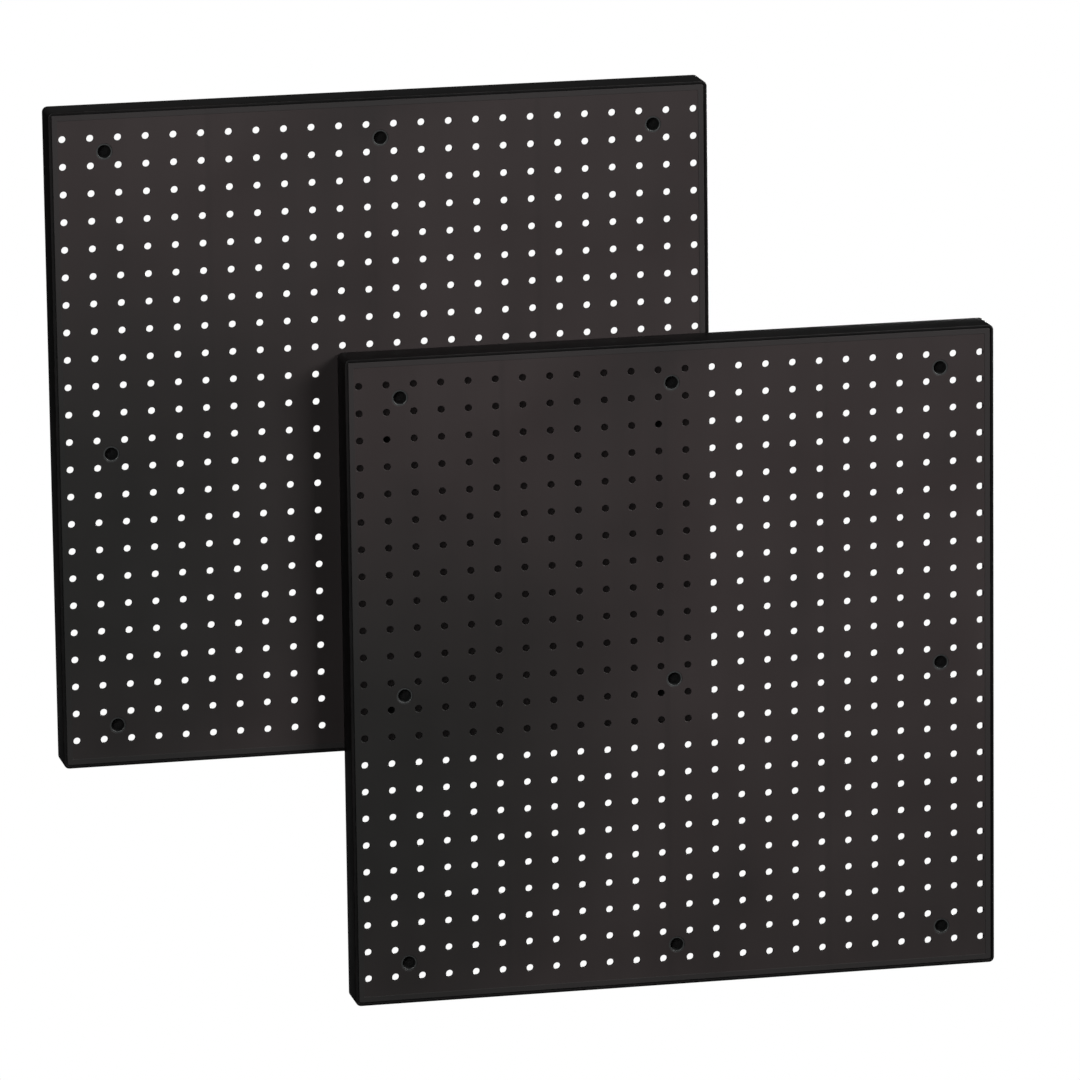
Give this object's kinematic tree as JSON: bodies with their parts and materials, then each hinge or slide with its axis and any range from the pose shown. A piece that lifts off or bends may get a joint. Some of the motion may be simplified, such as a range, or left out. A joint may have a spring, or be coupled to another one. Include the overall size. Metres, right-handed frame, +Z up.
{
  "type": "pegboard wall panel pair",
  "caption": "Pair of square black moulded pegboard panels with deep side walls, a grid of peg holes and counterbored screw bosses.",
  "frame": {"origin": "middle of the rear panel's four corner screw holes, on the plane where the screw bosses end, 13.2 mm in front of the wall", "axes": "+X to the right and +Z up as seen from the front; +Y points into the wall, so both faces look towards -Y"},
  "size_m": [0.8706, 0.0715, 0.8441],
  "materials": {
    "satin_face": "satin moulded black",
    "side_wall": "satin moulded black",
    "back_rib": "plain moulded black",
    "screw_boss": "plain moulded black"
  },
  "bodies": {
    "rear_panel": {"rear_perforated_face": "satin_face", "rear_top_wall": "side_wall", "rear_bottom_wall": "side_wall", "rear_left_wall": "side_wall", "rear_right_wall": "side_wall", "rear_left_rib": "back_rib", "rear_centre_rib": "back_rib", "rear_right_rib": "back_rib", "rear_upper_cross_rib": "back_rib", "rear_middle_cross_rib": "back_rib", "rear_lower_cross_rib": "back_rib", "rear_upper_screw_bosses": "screw_boss", "rear_middle_screw_bosses": "screw_boss", "rear_lower_screw_bosses": "screw_boss"},
    "front_panel": {"front_perforated_face": "satin_face", "front_top_wall": "side_wall", "front_bottom_wall": "side_wall", "front_left_wall": "side_wall", "front_right_wall": "side_wall", "front_left_rib": "back_rib", "front_centre_rib": "back_rib", "front_right_rib": "back_rib", "front_upper_cross_rib": "back_rib", "front_middle_cross_rib": "back_rib", "front_lower_cross_rib": "back_rib", "front_upper_screw_bosses": "screw_boss", "front_middle_screw_bosses": "screw_boss", "front_lower_screw_bosses": "screw_boss"}
  },
  "joints": [
    {"name": "front_panel_lift_off", "type": "slide", "parent": "rear_panel", "child": "front_panel", "axis": [0, -1, 0], "range_m": [0, 0.15]}
  ]
}
